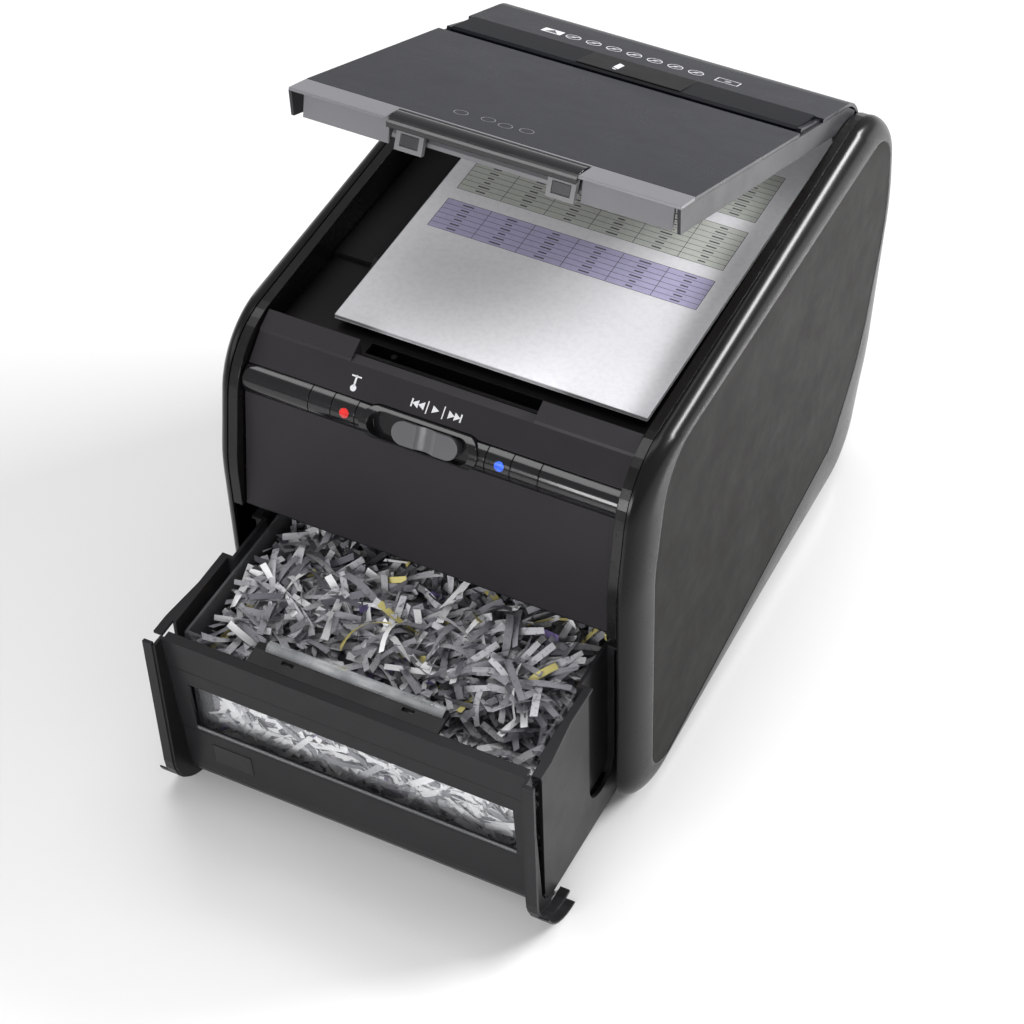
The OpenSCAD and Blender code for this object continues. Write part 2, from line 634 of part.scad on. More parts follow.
// Points of an arc in the (y, z) plane about the centre of the lower front corner
function foot_arc(r, a0, a1) =
  [for (k = [0:8]) let (a = a0 + (a1 - a0) * k / 8) [36 + r * cos(a), 38 + r * sin(a)]];
// Front with the window opening, the rolled lower edge and the J-shaped wings
module drawer_front() color("#323236") drawer_pose() union() {
  difference() {
    along_x(-drawer_half + 0.6, drawer_half - 0.6) polygon(concat(
      [[front_top[0], front_top[1]]],
      [for (k = [0:6]) [36 - 20.4 * cos(15 * k), 24 - 20.8 * sin(15 * k)]],
      [[36, 5.6]],
      [for (k = [6:-1:0]) [36 - 18 * cos(15 * k), 24 - 18.4 * sin(15 * k)]],
      [[front_top[0] + 2.1, front_top[1]]]));
    box(-112.7, 112.7, 0, 30, 66, 109.4);
  }
  along_x(-drawer_half + 2.6, drawer_half - 2.6) polygon([[front_top[0] + 1, drawer_top - 3],
    [front_top[0] + 7, drawer_top - 3], [front_top[0] + 7, drawer_top], [front_top[0] + 1, drawer_top]]);
  both_sides() {
    along_x(trim_x0 - 0.2, frame_x1) polygon(concat([[wing_front, drawer_top + 2]],
      foot_arc(37.5, 180, 280), foot_arc(35.1, 280, 180), [[wing_front + 2.4, drawer_top + 2]]));
    along_x(frame_x1 - 0.1, 139) polygon(concat(foot_arc(37.5, 200, 271), foot_arc(36.4, 271, 200)));
    along_x(drawer_half - 1.6, trim_x0) polygon(concat([[wing_front + 1, drawer_top]],
      foot_arc(36.5, 180, 258), [[30, 9], [22, 14], [17.4, 24], [front_top[0] + 2, drawer_top]]));
  }
}

// Clear tub that lifts out of the drawer
module bin_tub() color("#cfd6dc") drawer_pose() difference() {
  box(-118.6, 118.6, 22.6, drawer_back - 5, 12, 142);
  box(-116.8, 116.8, 24.4, drawer_back - 6.8, 13.8, 150);
  box(-75, 99, 10, 41, 117, 150);
}

// Hood behind the front rail that keeps the hand out of the shreds
module bin_hood() color("#2c2c30") drawer_pose() difference() {
  union() {
    along_x(-74, 58) polygon([[10.6, 135.4], [10.6, 137.8], [31, 141], [36.5, 141], [36.5, 138], [31, 138]]);
    rod_x(-66, 56, 34.5, 139, 4);
    along_x(58, 98) polygon([[12, 118], [12, 134], [28, 122], [28, 118]]);
  }
  for (x = [-49, 34]) box(x - 4, x + 4, 26.5, 29, 130, 145);
  along_x(-75, 60) polygon([[16, 130], [16, 135], [30, 137.8], [38.6, 137.8], [38.6, 130]]);
}

// ---- controls that move ----
module slider_knob() color("#5c6066") place() translate([knob_x, bar_y, bar_z]) rotate([64, 0, 0])
  translate([0, 0, 3.8]) difference() {
    linear_extrude(6.6) {
      square([knob_l - 15, 15], center = true);
      for (s = [-1, 1]) translate([s * (knob_l / 2 - 7.5), 0]) circle(r = 7.5);
    }
    translate([0, 20, 16.5]) rotate([90, 0, 0]) cylinder(h = 40, r = 12);
  }

module power_rocker() color("#101012") place() union() {
  translate([66.5, rocker_y, 70]) rotate([-6, 0, 0]) translate([-7.5, -7, -10.3]) cube([15, 13, 20.6]);
  rod_x(56.7, 76.3, rocker_y, 70, 1.5);
}

base_plate();
feet();
side_frame_left();
side_frame_right();
side_shell_left();
side_shell_right();
inset_panel_left();
inset_panel_right();
front_panel();
control_fascia();
bar_segments();
slider_bezel();
red_lens();
blue_lens();
paper_tray();
paper_guide();
back_cover();
shred_chute();
cutter_plate_left();
cutter_plate_right();
cutter_bushes();
rods_and_pins();
front_stripper();
rear_stripper();
motor_body();
circuit_board();
inlet_gland();
switch_bezel();
drawer_switch();
lid_switch();
drawer_plunger();
lid_plunger();
hinge_pins();
drawer_rails();
frame_screws();
lid_panel();
lid_nose();
lid_frame();
handle_plate();
latch_tabs();
slot_bar();
rear_hood();
pressure_plate();
front_cutter_shaft();
front_cutter_discs();
front_sync_gear();
rear_cutter_shaft();
rear_cutter_discs();
rear_drive_gears();
feed_shaft();
feed_rollers();
feed_idler();
reduction_gear();
motor_pinion();
drawer_box();
drawer_front();
bin_tub();
bin_hood();
slider_knob();
power_rocker();
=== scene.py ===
import bpy
import bmesh
import math
import numpy as np
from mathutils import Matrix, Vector


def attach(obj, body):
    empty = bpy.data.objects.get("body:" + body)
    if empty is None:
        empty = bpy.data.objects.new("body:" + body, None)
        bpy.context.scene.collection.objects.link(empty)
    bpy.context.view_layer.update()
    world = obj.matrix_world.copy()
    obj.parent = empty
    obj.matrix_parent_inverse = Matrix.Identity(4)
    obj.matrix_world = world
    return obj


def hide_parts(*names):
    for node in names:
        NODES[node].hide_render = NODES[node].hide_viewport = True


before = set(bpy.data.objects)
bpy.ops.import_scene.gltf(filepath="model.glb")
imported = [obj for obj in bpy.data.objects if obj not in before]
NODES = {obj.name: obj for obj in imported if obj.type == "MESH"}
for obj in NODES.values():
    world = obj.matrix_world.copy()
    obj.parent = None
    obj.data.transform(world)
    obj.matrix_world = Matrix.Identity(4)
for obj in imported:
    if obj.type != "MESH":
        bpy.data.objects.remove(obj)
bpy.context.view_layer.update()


MM = 0.001
# outlines of a side shell and of its inset panel: (y, z, corner radius)
PROFILE = [(0, 2, 36), (0, 205, 120), (17, 292, 50), (397, 314, 62),
           (411, 215, 150), (394, 75, 150), (374, 2, 45)]
INSET = [(28, 12, 22), (28, 205, 90), (46, 283, 40), (388, 290, 32),
         (395, 215, 150), (362, 110, 150), (318, 58, 26)]
LID_OPEN = math.radians(25.5)
HINGE_Y, HINGE_Z = 371.0, 267.0
LID_Y, LID_Z, LID_SLOPE = 81, 296, math.radians(3)  # a point of the shut lid's flat top, and its slope
DRAWER_OUT = 108.0
WING_FRONT = -1.5  # front of the drawer's wings when shut
FRONT_TOP, FRONT_FOOT = (6.5, 149), (15.6, 24)  # upper and lower edge of the drawer's leaning front
SHELL_IN, SHELL_X = 133.2, 145.0
rng = np.random.default_rng(7)


# ---- geometry helpers ----
def corner_arc(a, b, c, r, steps):
    """Points of the arc of radius r that rounds the corner b between a and c."""
    a, b, c = (np.array(p[:2], float) for p in (a, b, c))
    u = (a - b) / np.linalg.norm(a - b)
    v = (c - b) / np.linalg.norm(c - b)
    half = math.acos(float(u @ v)) / 2
    w = (u + v) / np.linalg.norm(u + v)
    o = b + w * r / math.sin(half)
    p, q = b + u * r / math.tan(half), b + v * r / math.tan(half)
    a0 = math.atan2(*(p - o)[::-1])
    turn = math.atan2(*(q - o)[::-1]) - a0
    turn = (turn + math.pi) % (2 * math.pi) - math.pi
    angles = [a0 + turn * i / steps for i in range(steps + 1)]
    return [o + r * np.array([math.cos(t), math.sin(t)]) for t in angles]


def rounded(corners, steps=18):
    k = len(corners)
    out = []
    for i in range(k):
        out += corner_arc(corners[i - 1], corners[i], corners[(i + 1) % k], corners[i][2], steps)
    return np.array(out)


profile = rounded(PROFILE)
inset = rounded(INSET)
coarse = rounded(PROFILE, 10)
Y_MID = (coarse[:, 0].max() + WING_FRONT - DRAWER_OUT) / 2


def place(x, y, z):
    """Millimetres of the CAD source, y back from the body's front, to the shared frame in metres."""
    return (x * MM, (y - Y_MID) * MM, z * MM)


def lid_place(x, y, z):
    """Place on the lid, given where it is when the lid is shut."""
    dy, dz = y - HINGE_Y, z - HINGE_Z
    c, s = math.cos(LID_OPEN), math.sin(LID_OPEN)
    return place(x, HINGE_Y + dy * c + dz * s, HINGE_Z - dy * s + dz * c)


def drawer_place(x, y, z):
    """Place in the drawer, given where it is when the drawer is shut."""
    return place(x, y - DRAWER_OUT, z)


def lid_z(y):
    """Height of the shut lid's flat top."""
    return LID_Z + (y - LID_Y) * math.tan(LID_SLOPE)


def mesh_piece(name, verts, faces, material, smooth=False):
    mesh = bpy.data.meshes.new(name)
    mesh.from_pydata([tuple(map(float, v)) for v in verts], [], faces)
    mesh.update()
    ob = bpy.data.objects.new(name, mesh)
    bpy.context.scene.collection.objects.link(ob)
    mesh.materials.append(material)
    if smooth:
        for p in mesh.polygons:
            p.use_smooth = True
    return ob


def fix_normals(ob):
    bm = bmesh.new()
    bm.from_mesh(ob.data)
    bmesh.ops.recalc_face_normals(bm, faces=bm.faces)
    bm.to_mesh(ob.data)
    bm.free()
    return ob


def slab(name, outline, low, high, where, material, bevel=0.0, body=None):
    """Closed plate: outline points (a, b), thickness low..high, where(a, b, h) gives the place."""
    n = len(outline)
    verts = [where(a, b, low) for a, b in outline] + [where(a, b, high) for a, b in outline]
    faces = [list(range(n))[::-1], list(range(n, 2 * n))]
    faces += [[i, (i + 1) % n, n + (i + 1) % n, n + i] for i in range(n)]
    ob = fix_normals(mesh_piece(name, verts, faces, material))
    if bevel:
        m = ob.modifiers.new("edge", "BEVEL")
        m.width = bevel * MM
        m.segments = 2
        m.limit_method = "ANGLE"
    return finish_piece(ob, body)


def finish_piece(ob, body):
    if body:
        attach(ob, body)
    return ob


def rect(x0, x1, y0, y1):
    return [(x0, y0), (x1, y0), (x1, y1), (x0, y1)]


def circle(x, y, r, n=28):
    angles = [2 * math.pi * i / n for i in range(n)]
    return [(x + r * math.cos(t), y + r * math.sin(t)) for t in angles]


# ---- materials ----
class Mat:
    """Node material with small helpers."""

    def __init__(self, name, color, rough, metallic=0.0, coat=0.0, coat_rough=0.1, shine=0.5):
        self.m = bpy.data.materials.new(name)
        self.m.use_nodes = True
        self.t = self.m.node_tree
        self.b = self.t.nodes["Principled BSDF"]
        self.b.inputs["Base Color"].default_value = (*color, 1)
        self.b.inputs["Roughness"].default_value = rough
        self.b.inputs["Metallic"].default_value = metallic
        self.b.inputs["Coat Weight"].default_value = coat
        self.b.inputs["Coat Roughness"].default_value = coat_rough
        self.b.inputs["Specular IOR Level"].default_value = shine
        self.pos = self.node("ShaderNodeTexCoord").outputs["Object"]
        self.normal = None

    def node(self, kind, **props):
        n = self.t.nodes.new(kind)
        for k, v in props.items():
            setattr(n, k, v)
        return n

    def link(self, a, b):
        self.t.links.new(a, b)

    def noise(self, scale, detail=3.0, rough=0.5, stretch=None):
        src = self.pos
        if stretch:
            mp = self.node("ShaderNodeMapping")
            mp.inputs["Scale"].default_value = stretch
            self.link(src, mp.inputs["Vector"])
            src = mp.outputs[0]
        n = self.node("ShaderNodeTexNoise")
        n.inputs["Scale"].default_value = scale
        n.inputs["Detail"].default_value = detail
        n.inputs["Roughness"].default_value = rough
        self.link(src, n.inputs["Vector"])
        return n.outputs["Fac"]

    def ramp(self, fac, low, high, a=0.35, b=0.65):
        r = self.node("ShaderNodeMapRange")
        r.inputs["From Min"].default_value = a
        r.inputs["From Max"].default_value = b
        r.inputs["To Min"].default_value = low
        r.inputs["To Max"].default_value = high
        self.link(fac, r.inputs["Value"])
        return r.outputs[0]

    def tint(self, fac, dark, light, a=0.35, b=0.65):
        cr = self.node("ShaderNodeValToRGB")
        cr.color_ramp.elements[0].position = a
        cr.color_ramp.elements[1].position = b
        cr.color_ramp.elements[0].color = (*dark, 1)
        cr.color_ramp.elements[1].color = (*light, 1)
        self.link(fac, cr.inputs[0])
        self.link(cr.outputs[0], self.b.inputs["Base Color"])
        return cr.outputs[0]

    def rough_from(self, fac, low, high, a=0.35, b=0.65):
        self.link(self.ramp(fac, low, high, a, b), self.b.inputs["Roughness"])

    def bump(self, height, strength, distance=0.0002):
        bp = self.node("ShaderNodeBump")
        bp.inputs["Strength"].default_value = strength
        bp.inputs["Distance"].default_value = distance
        self.link(height, bp.inputs["Height"])
        if self.normal is not None:
            self.link(self.normal, bp.inputs["Normal"])
        self.normal = bp.outputs[0]
        self.link(self.normal, self.b.inputs["Normal"])

    def soft_edges(self, radius):
        bv = self.node("ShaderNodeBevel")
        bv.samples = 4
        bv.inputs["Radius"].default_value = radius * MM
        self.normal = bv.outputs[0]
        self.link(self.normal, self.b.inputs["Normal"])


def scaled(color, k):
    return tuple(min(1.0, c * k) for c in color)


def plastic(name, color, rough, grain=900.0, depth=0.12, spread=0.12, edge=0.5, coat=0.0, coat_rough=0.15,
            shine=0.22):
    """Moulded plastic: spark-eroded grain, slight flow shading and handling marks in the gloss."""
    m = Mat(name, color, rough, coat=coat, coat_rough=coat_rough, shine=shine)
    if edge:
        m.soft_edges(edge)
    flow = m.noise(7.0, 4.0)
    m.tint(flow, scaled(color, 1 - spread), scaled(color, 1 + spread))
    wear = m.noise(38.0, 6.0, 0.65)
    m.rough_from(wear, max(0.02, rough - 0.05), rough + 0.05, 0.3, 0.7)
    m.bump(m.noise(grain, 2.0, 0.6), depth, 0.0001)
    return m


def metal(name, color, rough, stretch=(1, 60, 60), scale=40.0):
    """Steel with fine machining lines and small stains."""
    m = Mat(name, color, rough, metallic=1.0)
    m.soft_edges(0.3)
    lines = m.noise(scale, 4.0, 0.6, stretch)
    m.rough_from(lines, rough - 0.08, rough + 0.14)
    stain = m.noise(22.0, 5.0)
    m.tint(stain, scaled(color, 0.72), scaled(color, 1.08))
    m.bump(lines, 0.12, 0.00005)
    return m


# plastics: name, colour, roughness, scale and depth of the grain, spread of the tone, soft edge in mm
shell_m = plastic("shell_satin", (0.0068, 0.0064, 0.0068), 0.26, 1700, 0.06, 0.05, 0.0,
                  coat=0.20, coat_rough=0.19, shine=0.06)
inset_m = plastic("inset_fine_grain", (0.0125, 0.0122, 0.0112), 0.52, 2200, 0.14, 0.04, 0.6, shine=0.05)
trim_m = plastic("trim_satin", (0.0075, 0.0070, 0.0068), 0.26, 1500, 0.05, 0.08, 0.8, coat=0.08)
panel_m = plastic("panel_satin", (0.0200, 0.0182, 0.0205), 0.38, 1500, 0.08, 0.06, 0.6, shine=0.13)
dark_m = plastic("inner_black", (0.0040, 0.0040, 0.0046), 0.42, 1300, 0.08, 0.15, 0.5)
lid_m = plastic("lid_satin", (0.0155, 0.0165, 0.0205), 0.30, 1700, 0.06, 0.06, 0.6,
                coat=0.05, coat_rough=0.2, shine=0.2)
lid_in_m = plastic("lid_frame_satin", (0.026, 0.026, 0.029), 0.38, 1500, 0.07, 0.08, 0.5)
# light grey base colour of the lid's nose paints the bright floor's reflection in its front faces
nose_reflection_m = plastic("nose_painted_reflection", (0.150, 0.150, 0.160), 0.34, 1600, 0.06, 0.07, 0.5, coat=0.1, coat_rough=0.2)
gloss_m = plastic("bar_gloss", (0.0050, 0.0050, 0.0060), 0.15, 500, 0.02, 0.08, 0.5,
                  coat=0.35, coat_rough=0.07, shine=0.4)
handle_m = plastic("handle_gloss", (0.0060, 0.0062, 0.0075), 0.16, 500, 0.02, 0.08, 0.9,
                   coat=0.45, coat_rough=0.05, shine=0.4)
slot_m = plastic("slot_gloss", (0.0040, 0.0046, 0.0066), 0.22, 600, 0.03, 0.08, 0.6, shine=0.08)
knob_m = plastic("knob_gloss", (0.085, 0.085, 0.090), 0.20, 700, 0.03, 0.08, 0.8, coat=0.4, coat_rough=0.1)
tab_m = plastic("tab_grey", (0.15, 0.15, 0.155), 0.34, 1400, 0.07, 0.06, 0.4)
tab_in_m = plastic("tab_inset_grey", (0.035, 0.036, 0.040), 0.30, 1400, 0.05, 0.06, 0.3)
drawer_m = plastic("drawer_satin", (0.0135, 0.0128, 0.0140), 0.36, 1500, 0.08, 0.06, 0.7, shine=0.13)
gear_m = plastic("gear_nylon", (0.62, 0.59, 0.50), 0.42, 900, 0.08, 0.06, 0.3)
board_m = plastic("board_green", (0.02, 0.13, 0.05), 0.35, 300, 0.3, 0.25, 0.3)
rubber_m = plastic("roller_rubber", (0.020, 0.020, 0.020), 0.75, 700, 0.5, 0.2, 0.5)
motor_m = plastic("motor_paint", (0.12, 0.12, 0.13), 0.38, 900, 0.15, 0.1, 0.5)
steel_m = metal("cutter_steel", (0.50, 0.50, 0.52), 0.32)
bronze_m = metal("bush_bronze", (0.52, 0.34, 0.15), 0.38)


def lens(name, color, dark, light, glow, strength):
    """Lit indicator lens: glossy tinted plastic with a weak glow of its own."""
    m = Mat(name, color, 0.15, coat=1.0)
    m.soft_edges(0.4)
    m.tint(m.noise(260, 2), dark, light)
    m.b.inputs["Emission Color"].default_value = (*glow, 1)
    m.b.inputs["Emission Strength"].default_value = strength
    m.bump(m.noise(600, 1), 0.1, 0.0001)
    return m


red_m = lens("red_lens_lit", (0.7, 0.01, 0.01), (0.36, 0.003, 0.003), (0.60, 0.012, 0.010),
             (1.0, 0.03, 0.02), 0.06)
blue_m = lens("blue_lens_lit", (0.02, 0.1, 0.8), (0.004, 0.035, 0.36), (0.02, 0.13, 0.75),
              (0.03, 0.16, 1.0), 0.25)

clear_m = Mat("clear_polystyrene", (0.60, 0.62, 0.64), 0.06)
clear_m.b.inputs["Alpha"].default_value = 0.09
clear_m.tint(clear_m.noise(18, 4), (0.52, 0.54, 0.56), (0.70, 0.72, 0.74))
clear_m.rough_from(clear_m.noise(60, 5, 0.6), 0.03, 0.16)
clear_m.bump(clear_m.noise(30, 3), 0.08, 0.0003)

# pale tint at part opacity paints the highlights along the clear strip
strip_highlight_m = Mat("clear_strip", (0.62, 0.64, 0.66), 0.10)
strip_highlight_m.b.inputs["Alpha"].default_value = 0.38
strip_highlight_m.tint(strip_highlight_m.noise(60, 4), (0.42, 0.44, 0.46), (0.80, 0.82, 0.84))
strip_highlight_m.bump(strip_highlight_m.noise(90, 3), 0.2, 0.0006)


def paper(name, color):
    """Paper: faint cloudy tone and fine fibres."""
    m = Mat(name, color, 0.75)
    fibre = m.noise(1800, 3, 0.6)
    m.tint(m.noise(300, 4), scaled(color, 0.93), color, 0.3, 0.6)
    m.rough_from(fibre, 0.62, 0.85)
    m.bump(fibre, 0.15, 0.00005)
    return m


sheet_m = paper("sheet_white", (0.72, 0.72, 0.745))
# darker paper for the sheets under the top one: painted shade on the stack's edge below the top sheet
shaded_sheet_m = paper("sheet_painted_shade", (0.45, 0.45, 0.46))
shred_ms = [paper("shred_white", (0.70, 0.70, 0.71)), paper("shred_pale", (0.40, 0.40, 0.42)),
            paper("shred_grey", (0.20, 0.20, 0.22)), paper("shred_printed", (0.11, 0.11, 0.13)),
            paper("shred_yellow", (0.50, 0.44, 0.16)), paper("shred_purple", (0.12, 0.09, 0.22))]
# the pale and the grey shreds carry small dark spots of print
for m in shred_ms[1:3]:
    spots = m.noise(420, 1.0, 0.4)
    base = m.b.inputs["Base Color"].links[0].from_socket
    mix = m.node("ShaderNodeMix", data_type="RGBA")
    m.link(m.ramp(spots, 0.0, 0.55, 0.60, 0.66), mix.inputs[0])
    m.link(base, mix.inputs[6])
    mix.inputs[7].default_value = (0.12, 0.12, 0.14, 1)
    m.link(mix.outputs[2], m.b.inputs["Base Color"])
lilac_m = paper("print_lilac", (0.42, 0.40, 0.58))
sage_m = paper("print_sage", (0.50, 0.52, 0.48))
sage2_m = paper("print_sage_dark", (0.44, 0.46, 0.42))
ink_m = paper("print_ink", (0.07, 0.07, 0.08))
icon_m = plastic("icon_print", (0.55, 0.55, 0.57), 0.45, 1500, 0.03, 0.05, 0.0)
icon_dim_m = plastic("icon_dim", (0.22, 0.22, 0.23), 0.40, 1500, 0.03, 0.05, 0.0)

BY_NODE = {
    "base_plate": dark_m, "feet": rubber_m, "side_frame_left": trim_m, "side_frame_right": trim_m,
    "side_shell_left": shell_m, "side_shell_right": shell_m, "inset_panel_left": inset_m,
    "inset_panel_right": inset_m, "front_panel": panel_m, "control_fascia": panel_m,
    "bar_segments": gloss_m, "slider_bezel": gloss_m, "red_lens": red_m, "blue_lens": blue_m,
    "paper_tray": dark_m, "paper_guide": dark_m, "back_cover": dark_m, "shred_chute": dark_m,
    "cutter_plate_left": steel_m, "cutter_plate_right": steel_m, "cutter_bushes": bronze_m,
    "rods_and_pins": steel_m, "front_stripper": steel_m, "rear_stripper": steel_m,
    "motor_body": motor_m, "circuit_board": board_m, "inlet_gland": rubber_m, "switch_bezel": dark_m,
    "drawer_switch": dark_m, "lid_switch": dark_m, "hinge_pins": steel_m, "drawer_rails": dark_m,
    "frame_screws": steel_m, "lid_panel": lid_m, "lid_nose": nose_reflection_m, "lid_frame": lid_in_m,
    "handle_plate": handle_m, "latch_tabs": tab_m, "slot_bar": slot_m, "rear_hood": lid_m,
    "pressure_plate": dark_m, "front_cutter_shaft": steel_m, "front_cutter_discs": steel_m,
    "front_sync_gear": steel_m, "rear_cutter_shaft": steel_m, "rear_cutter_discs": steel_m,
    "rear_drive_gears": steel_m, "feed_shaft": steel_m, "feed_rollers": rubber_m, "feed_idler": gear_m,
    "reduction_gear": gear_m, "motor_pinion": steel_m, "drawer_box": drawer_m, "drawer_front": drawer_m,
    "bin_tub": clear_m, "bin_hood": dark_m, "slider_knob": knob_m, "power_rocker": gloss_m,
    "drawer_plunger": gear_m, "lid_plunger": dark_m,
}
for name, ob in NODES.items():
    ob.data.materials.clear()
    ob.data.materials.append(BY_NODE[name].m)


# ---- side shells: smooth quarter-ellipse shoulder from the profile to the inset panel ----
SHOULDER_STEPS, BACK_STEPS = 22, 8
SKIN_WALL, SKIN_DEPTH = 2.6, 6.5  # back of the skin: how far inside its outline, and how far it domes out


def shoulder(turn):
    """Outline part of the way up the shoulder: the profile at 0, the inset panel's at a right angle."""
    t = 1 - math.cos(turn)
    return profile * (1 - t) + inset * t


def shell_skin(name, side, node):
    """Closed skin of rings of points: a face over the shoulder and down to a cap, and a back with its own."""
    n = len(profile)
    rings = [(SHELL_IN, profile)]
    for k in range(1, SHOULDER_STEPS + 1):
        turn = math.radians(90 * k / SHOULDER_STEPS)
        rings.append((SHELL_IN + (SHELL_X - SHELL_IN) * math.sin(turn), shoulder(turn)))
    for sink, shrink in ((0.4, 0.004), (2.0, 0.006)):
        rings.append((SHELL_X - sink, inset + (inset.mean(0) - inset) * shrink))
    mid = profile.mean(0)
    for sink in (2.0, 3.6):
        rings.append((SHELL_X - sink, mid + (inset - mid) * 0.97))
    last_outer = len(rings) - 1
    for k in range(BACK_STEPS, -1, -1):
        turn = math.radians(90 * k / BACK_STEPS)
        ring = shoulder(turn)
        inward = ring + (mid - ring) / np.linalg.norm(mid - ring, axis=1)[:, None] * SKIN_WALL
        rings.append((SHELL_IN + SKIN_DEPTH * math.sin(turn), inward))
    verts = [place(side * x, y, z) for x, ring in rings for y, z in ring]
    faces = []
    total = len(rings)
    for r in range(total):
        if r == last_outer:
            continue
        q = (r + 1) % total
        for i in range(n):
            j = (i + 1) % n
            faces.append([r * n + i, r * n + j, q * n + j, q * n + i])
    faces.append([last_outer * n + i for i in range(n)])
    faces.append([(last_outer + 1) * n + i for i in range(n)][::-1])
    ob = mesh_piece(name, verts, faces, shell_m.m, smooth=True)
    fix_normals(ob)
    ob.data.set_sharp_from_angle(angle=math.radians(38))
    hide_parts(node)
    return finish_piece(ob, "chassis")


shell_skin("shell_skin_right", 1, "side_shell_right")
shell_skin("shell_skin_left", -1, "side_shell_left")


# ---- sheets waiting in the tray, with generic printed tables ----
SHEET = rect(0, 210, 0, 297)
SHEET_X, SHEET_Y, SHEET_Z = -92.4, 73.6, 283.4  # front left corner of the top sheet
SHEET_SLOPE = 0.02
SHEETS_BELOW, SHEET_PITCH = 14, 0.22


def sheet_place(dx=0.0, dy=0.0, turn=0.0):
    """Gives the place on a sheet: a across, b back from its front left corner, h above the top sheet."""
    c, s = math.cos(turn), math.sin(turn)

    def where(a, b, h):
        x = SHEET_X + dx + a * c - b * s
        y = SHEET_Y + dy + b * c + a * s
        return place(x, y, SHEET_Z + SHEET_SLOPE * (y - SHEET_Y) + h)
    return where


slab("top_sheet", SHEET, -0.12, 0.0, sheet_place(), sheet_m.m, body="chassis")
for i in range(SHEETS_BELOW):
    d = rng.uniform(-1, 1, 3)
    drop = SHEET_PITCH * i
    lying = sheet_place(-0.3 + 0.5 * d[0], 0.5 + 0.5 * d[1], 0.001 * d[2])
    # two in three sheets below the top one take the darker paper, which paints the shade on the stack's edge
    material = shaded_sheet_m if i % 3 else sheet_m
    slab(f"sheet_{i:02d}", SHEET, -0.34 - drop, -0.18 - drop, lying, material.m, body="chassis")

TABLE_X0, TABLE_X1, TABLE_COLUMNS = 11.0, 196.5, 6
COLUMN_LINE, ROW_LINE = 0.2, 0.18  # half widths of the grid's lines
on_top_sheet = sheet_place()


def flat_quads(name, quads, material, lift):
    """Printed rectangles (x0, x1, y0, y1) lying on the top sheet."""
    verts, faces = [], []
    for x0, x1, y0, y1 in quads:
        k = len(verts)
        verts += [on_top_sheet(a, b, lift) for a, b in rect(x0, x1, y0, y1)]
        faces.append([k, k + 1, k + 2, k + 3])
    finish_piece(mesh_piece(name, verts, faces, material), "chassis")


def table(prefix, y0, y1, rows, fill):
    """Tinted block with a thin dark grid and one short mark in the middle of each cell."""
    cw, rh = (TABLE_X1 - TABLE_X0) / TABLE_COLUMNS, (y1 - y0) / rows
    flat_quads(prefix + "_cells", [(TABLE_X0, TABLE_X1, y0, y1)], fill, 0.02)
    xs = [TABLE_X0 + cw * c for c in range(TABLE_COLUMNS + 1)]
    lines = [(x - COLUMN_LINE, x + COLUMN_LINE, y0, y1) for x in xs]
    flat_quads(prefix + "_columns", lines, ink_m.m, 0.05)
    ys = [y0 + rh * r for r in range(rows + 1)]
    lines = [(TABLE_X0, TABLE_X1, y - ROW_LINE, y + ROW_LINE) for y in ys]
    flat_quads(prefix + "_rows", lines, ink_m.m, 0.06)
    marks = []
    for r in range(rows):
        for c in range(TABLE_COLUMNS):
            w = float(rng.uniform(2.2, 4.2))
            mid = TABLE_X0 + cw * (c + 0.5)
            marks.append((mid - w, mid + w, y0 + rh * (r + 0.38), y0 + rh * (r + 0.62)))
    flat_quads(prefix + "_marks", marks, ink_m.m, 0.04)


table("table_lilac", 97.0, 125.5, 6, lilac_m.m)
table("table_sage", 136.5, 175.5, 8, sage_m.m)
table("table_sage_rear", 186.0, 234.0, 10, sage2_m.m)


# ---- shreds in the bin, all placed as in the shut drawer ----
STRIPS = 3600
STRIP_SEGMENTS = 6
AT_WINDOW = 0.30  # share of the strips that stand behind the window
SHARES = np.array([0.16, 0.38, 0.38, 0.055, 0.013, 0.012])  # of the strips, one for each paper of shred_ms
TUB_X, TUB_FRONT, TUB_BACK, TUB_FLOOR = 114, 27.0, 312, 16  # no strip reaches past these
WINDOW_X, WINDOW_Y, WINDOW_Z = (-112, 112), (26.5, 34), (16, 110)  # centres of the strips behind the window
HEAP_X, HEAP_FRONT, HEAP_DEPTH = 108, 30, 215  # centres of the strips on the heap
HEAP_TOP = 143
HOOD_X0, HOOD_X1, HOOD_BACK, HOOD_FOOT = -78, 102, 43, 112  # strips under the hood stay below its foot
PILE_FRONT, PILE_RISE = 104, 31  # height of the heap at the front, and how much higher it is behind
CORE_X, CORE_FRONT, CORE_BACK, CORE_FOOT, CORE_DOWN = 112, 31, 300, 15, 13


def smooth_noise(x, y):
    """Gentle lumps, from about -1 to 1."""
    return (math.sin(x * 0.071 + 1.3) * math.cos(y * 0.083) + 0.6 * math.sin(x * 0.153 - y * 0.117 + 0.7)
            + 0.4 * math.sin(y * 0.21 + x * 0.05)) / 2.0


def pile_z(x, y):
    """Height of the heap: low under the hood, higher behind it and beside the hood's left end."""
    rise = min(1.0, max(0.0, (y - 37) / 40))
    side = min(1.0, (116 - abs(x)) / 22)
    ends = 1.0 if x < -80 else 0.0
    heap = PILE_RISE * rise ** 0.6 * (0.8 + 0.2 * side)
    return PILE_FRONT + heap + 4.0 * smooth_noise(x, y) + 18 * ends * (1 - rise)


